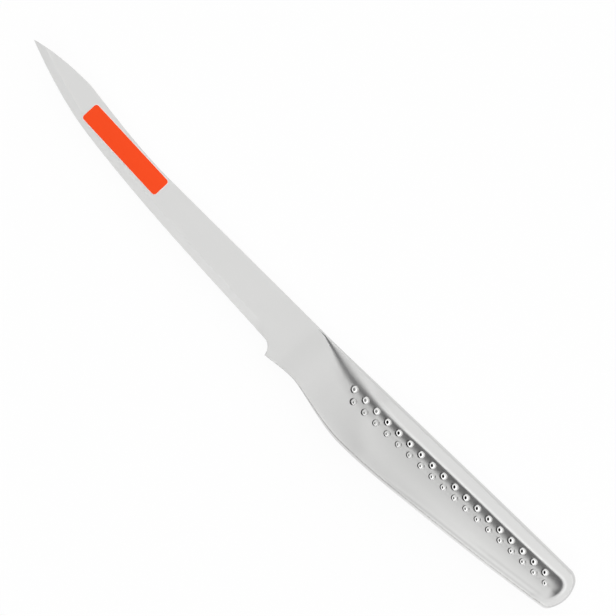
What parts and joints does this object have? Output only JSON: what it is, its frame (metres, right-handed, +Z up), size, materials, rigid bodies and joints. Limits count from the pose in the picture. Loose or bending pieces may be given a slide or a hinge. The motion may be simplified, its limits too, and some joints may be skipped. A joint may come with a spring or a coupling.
{
  "type": "tomato knife",
  "caption": "All-steel kitchen knife with a thin bevelled blade and a hollow scooped handle with raised grip pips, lying on its side.",
  "frame": {"origin": "on the surface the knife lies on, under the middle of its box", "axes": "+X from the tip to the butt, +Y from the cutting edge to the spine, +Z up through the side of the knife"},
  "size_m": [0.2402, 0.0242, 0.013],
  "materials": {
    "blade_steel": "satin",
    "handle_steel": "satin",
    "weld_steel": "satin",
    "sand": "matte",
    "label": "satin"
  },
  "bodies": {
    "root": {"blade": "blade_steel", "front_shell": "handle_steel", "back_shell": "handle_steel", "seam_weld": "weld_steel", "bolster_weld": "weld_steel", "balance_sand": "sand", "label_film": "label"}
  },
  "joints": []
}
